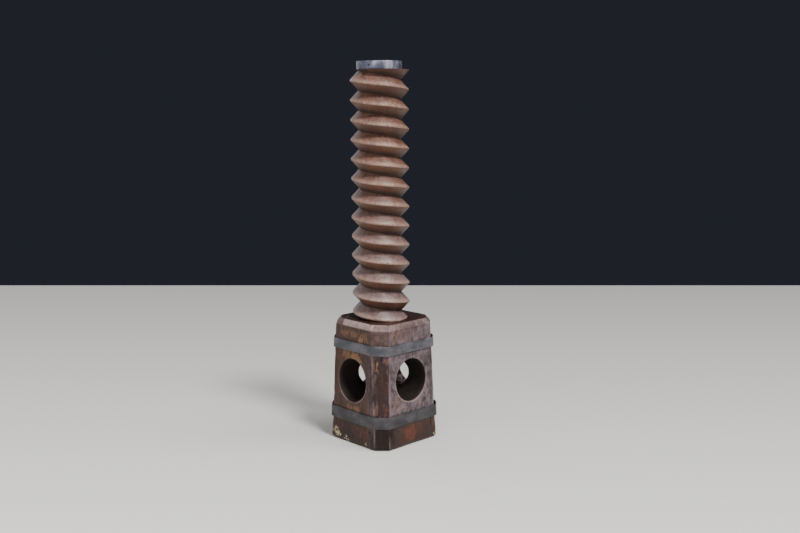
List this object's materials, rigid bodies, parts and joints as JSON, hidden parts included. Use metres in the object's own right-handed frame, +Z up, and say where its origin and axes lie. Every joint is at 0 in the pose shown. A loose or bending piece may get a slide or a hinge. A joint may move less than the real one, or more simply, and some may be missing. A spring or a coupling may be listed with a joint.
{
  "type": "wooden press screw",
  "caption": "Wooden press screw: left-hand V-threaded spindle on a square hooped head with crossing bar holes and a nailed end ferrule.",
  "frame": {"origin": "on the spindle's axis, level with the head's flat underside", "axes": "+Z up the spindle from the head to the ferruled end; X and Y square to the head's faces"},
  "size_m": [0.2542, 0.2472, 1.08],
  "materials": {
    "timber": "worn, waxed dark hardwood",
    "hoop_iron": "forged strap iron, dark patina",
    "rivet_iron": "hammered iron, dark patina",
    "ferrule_sheet": "dull weathered zinc sheet",
    "nail_iron": "dark iron"
  },
  "bodies": {
    "root": {"screw_timber": "timber", "lower_hoop": "hoop_iron", "upper_hoop": "hoop_iron", "lower_hoop_rivets": "rivet_iron", "upper_hoop_rivets": "rivet_iron", "end_ferrule": "ferrule_sheet", "ferrule_nails": "nail_iron"}
  },
  "joints": []
}
